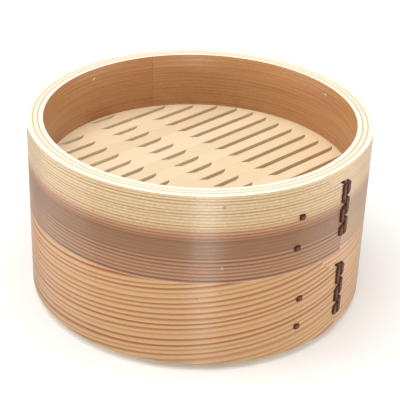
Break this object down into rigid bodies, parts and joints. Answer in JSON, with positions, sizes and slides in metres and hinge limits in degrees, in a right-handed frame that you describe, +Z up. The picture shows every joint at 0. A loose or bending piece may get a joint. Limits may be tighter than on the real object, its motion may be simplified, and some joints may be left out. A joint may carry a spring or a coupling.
{
  "type": "steamer basket",
  "caption": "Round stacking steamer basket: laminated wooden hoop tiers with slatted bamboo racks and a foot ring that nests in the mouth of the tier below.",
  "frame": {"origin": "centre of the lower foot ring's bottom face, where the stack stands", "axes": "+Z up along the hoops' axis, -Y the front; the lapped and laced end of each outer hoop is at the front right (+X, -Y)"},
  "size_m": [0.21, 0.21, 0.115],
  "materials": {
    "upper_band_wood": "sanded, unfinished",
    "lower_band_wood": "sanded, unfinished",
    "hoop_edge_wood": "sanded, unfinished",
    "inner_wood": "sanded, unfinished",
    "slat_bamboo": "planed, unfinished",
    "bamboo_peg": "cut end grain",
    "cherry_bark": "satin bark"
  },
  "bodies": {
    "lower_tier": {"lower_outer_band": "lower_band_wood", "lower_middle_ring": "hoop_edge_wood", "lower_inner_ring": "inner_wood", "lower_support_ring": "inner_wood", "lower_foot_ring": "inner_wood", "lower_slat_01": "slat_bamboo", "lower_slat_02": "slat_bamboo", "lower_slat_03": "slat_bamboo", "lower_slat_04": "slat_bamboo", "lower_slat_05": "slat_bamboo", "lower_slat_06": "slat_bamboo", "lower_slat_07": "slat_bamboo", "lower_slat_08": "slat_bamboo", "lower_slat_09": "slat_bamboo", "lower_slat_10": "slat_bamboo", "lower_slat_11": "slat_bamboo", "lower_slat_12": "slat_bamboo", "lower_slat_13": "slat_bamboo", "lower_slat_14": "slat_bamboo", "lower_slat_15": "slat_bamboo", "lower_slat_16": "slat_bamboo", "lower_rack_rod_front": "bamboo_peg", "lower_rack_rod_back": "bamboo_peg", "lower_band_lacing": "cherry_bark", "lower_band_tacks": "cherry_bark", "lower_rim_pegs": "bamboo_peg", "lower_base_pegs": "bamboo_peg"},
    "upper_tier": {"upper_outer_band": "upper_band_wood", "upper_middle_ring": "hoop_edge_wood", "upper_inner_ring": "inner_wood", "upper_support_ring": "inner_wood", "upper_foot_ring": "inner_wood", "upper_slat_01": "slat_bamboo", "upper_slat_02": "slat_bamboo", "upper_slat_03": "slat_bamboo", "upper_slat_04": "slat_bamboo", "upper_slat_05": "slat_bamboo", "upper_slat_06": "slat_bamboo", "upper_slat_07": "slat_bamboo", "upper_slat_08": "slat_bamboo", "upper_slat_09": "slat_bamboo", "upper_slat_10": "slat_bamboo", "upper_slat_11": "slat_bamboo", "upper_slat_12": "slat_bamboo", "upper_slat_13": "slat_bamboo", "upper_slat_14": "slat_bamboo", "upper_slat_15": "slat_bamboo", "upper_slat_16": "slat_bamboo", "upper_rack_rod_front": "bamboo_peg", "upper_rack_rod_back": "bamboo_peg", "upper_band_lacing": "cherry_bark", "upper_band_tacks": "cherry_bark", "upper_rim_pegs": "bamboo_peg", "upper_base_pegs": "bamboo_peg"}
  },
  "joints": [
    {"name": "upper_tier_lift", "type": "slide", "parent": "lower_tier", "child": "upper_tier", "axis": [0, 0, 1], "range_m": [0, 0.08]}
  ]
}
